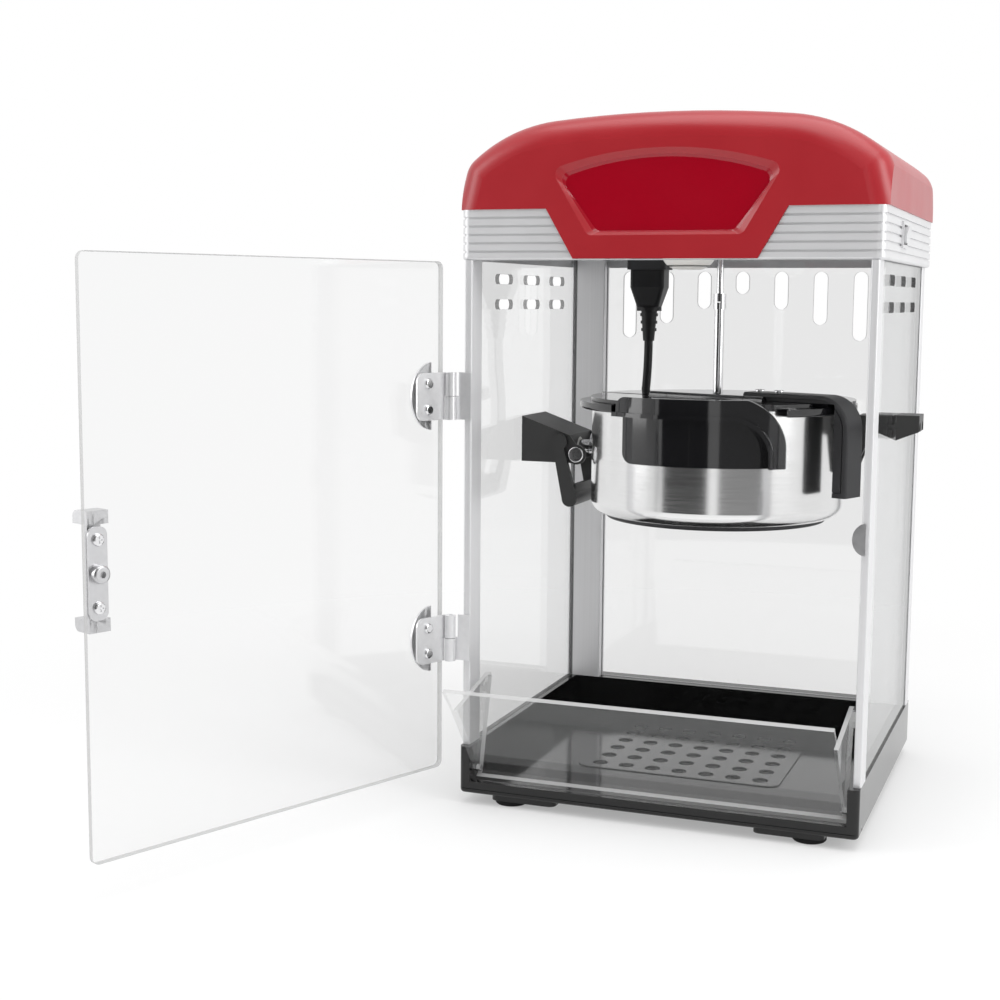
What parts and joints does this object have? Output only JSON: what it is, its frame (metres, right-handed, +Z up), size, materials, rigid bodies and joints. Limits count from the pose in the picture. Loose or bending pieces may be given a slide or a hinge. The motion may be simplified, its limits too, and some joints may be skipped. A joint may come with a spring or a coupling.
{
  "type": "popcorn_maker",
  "caption": "Tabletop popcorn maker: clear-sided cabinet with a red head, a tipping stainless kettle with a stirrer, a swing door and a tilt-out chute.",
  "frame": {"origin": "on the table under the middle of the cabinet, level with the undersides of the feet", "axes": "+Z up, +X to the right seen from the front, +Y to the back; the door and chute are at the front, towards -Y"},
  "size_m": [0.4359, 0.5362, 0.4843],
  "materials": {
    "base_black": "satin",
    "rubber_black": "matte",
    "plate_steel": "satin",
    "post_aluminium": "satin",
    "clear_acrylic": "clear gloss",
    "head_red": "satin gloss",
    "trim_silver": "satin",
    "bracket_black": "matte",
    "bright_chrome": "polished",
    "zinc": "satin",
    "kettle_steel": "brushed",
    "gloss_black": "gloss",
    "handle_black": "matte",
    "nylon": "matte",
    "lamp_frosted": "frosted",
    "cast_grey": "cast",
    "cord_black": "matte"
  },
  "bodies": {
    "cabinet": {"base_housing": "base_black", "bottom_cover": "base_black", "feet": "rubber_black", "kernel_tray": "plate_steel", "front_left_post": "post_aluminium", "front_right_post": "post_aluminium", "rear_left_post": "post_aluminium", "rear_right_post": "post_aluminium", "frame_screws": "bright_chrome", "left_panel": "clear_acrylic", "right_panel": "clear_acrylic", "rear_panel": "clear_acrylic", "left_bracket": "bracket_black", "right_bracket": "bracket_black", "bracket_boss": "bracket_black", "bracket_screws": "bright_chrome", "kettle_bushes": "nylon", "latch_pins": "bright_chrome", "ceiling_plate": "plate_steel", "head_band": "trim_silver", "head_dome": "head_red", "lamp_lens": "lamp_frosted", "lamp_holder": "zinc", "lamp_bulb": "lamp_frosted", "gear_motor": "cast_grey", "switch_housing": "handle_black", "mains_gland": "rubber_black", "kettle_socket": "handle_black", "kettle_plug": "cord_black", "kettle_cord": "cord_black", "post_hinge_leaves": "bright_chrome", "hinge_pins": "bright_chrome", "door_catch": "zinc", "chute_pins": "bright_chrome"},
    "door": {"door_panel": "clear_acrylic", "door_screws": "bright_chrome", "door_pull": "zinc", "latch_plate": "zinc", "door_hinge_leaves": "bright_chrome"},
    "chute": {"chute": "clear_acrylic"},
    "kettle": {"kettle_shell": "kettle_steel", "kettle_pan": "kettle_steel", "heating_ring": "cast_grey", "thermostat": "cast_grey", "kettle_base_cover": "handle_black", "kettle_rim": "gloss_black", "kettle_trunnions": "bright_chrome", "terminal_box": "handle_black", "spout_guard": "gloss_black", "lid_rear": "gloss_black", "flap_pin": "bright_chrome", "kettle_handle": "handle_black", "handle_screws": "bright_chrome"},
    "lid_flap": {"lid_flap": "gloss_black"},
    "stirrer": {"stir_rod": "bright_chrome", "stir_paddle": "bright_chrome"},
    "drive": {"drive_shaft": "bright_chrome"},
    "latch": {"latch_bail": "bracket_black"},
    "rocker": {"switch_rocker": "gloss_black"},
    "kernel_plate": {"kernel_plate": "base_black"}
  },
  "joints": [
    {"name": "door_swing", "type": "hinge", "parent": "cabinet", "child": "door", "pos_m": [-0.1495, -0.1325, 0.207], "axis": [0, 0, 1], "range_deg": [0, 112]},
    {"name": "chute_tilt", "type": "hinge", "parent": "cabinet", "child": "chute", "pos_m": [0, -0.122, 0.024], "axis": [-1, 0, 0], "range_deg": [0, 42]},
    {"name": "kettle_tilt", "type": "hinge", "parent": "cabinet", "child": "kettle", "pos_m": [0.008, 0.005, 0.248], "axis": [1, 0, 0], "range_deg": [0, 95], "deforming": ["kettle_cord"]},
    {"name": "lid_flap_lift", "type": "hinge", "parent": "kettle", "child": "lid_flap", "pos_m": [0.00262, -0.009, 0.2885], "axis": [-0.9336, 0.3584, 0], "range_deg": [0, 75]},
    {"name": "drive_spin", "type": "hinge", "parent": "cabinet", "child": "drive", "pos_m": [0.008, 0.005, 0.39], "axis": [0, 0, 1], "continuous": true},
    {"name": "stirrer_spin", "type": "hinge", "parent": "kettle", "child": "stirrer", "pos_m": [0.008, 0.005, 0.3], "axis": [0, 0, 1], "continuous": true},
    {"name": "latch_swing", "type": "hinge", "parent": "cabinet", "child": "latch", "pos_m": [-0.106, 0.006, 0.253], "axis": [0, 1, 0], "range_deg": [0, 20]},
    {"name": "switch_rock", "type": "hinge", "parent": "cabinet", "child": "rocker", "pos_m": [0.1435, -0.043, 0.4045], "axis": [0, -1, 0], "range_deg": [0, 14]},
    {"name": "kernel_plate_lift", "type": "slide", "parent": "cabinet", "child": "kernel_plate", "axis": [0, 0, 1], "range_m": [0, 0.06]}
  ],
  "couplings": [
    {"joint": "chute_tilt", "follows": "door_swing", "ratio": 0.375},
    {"joint": "drive_spin", "follows": "stirrer_spin", "ratio": 1}
  ]
}
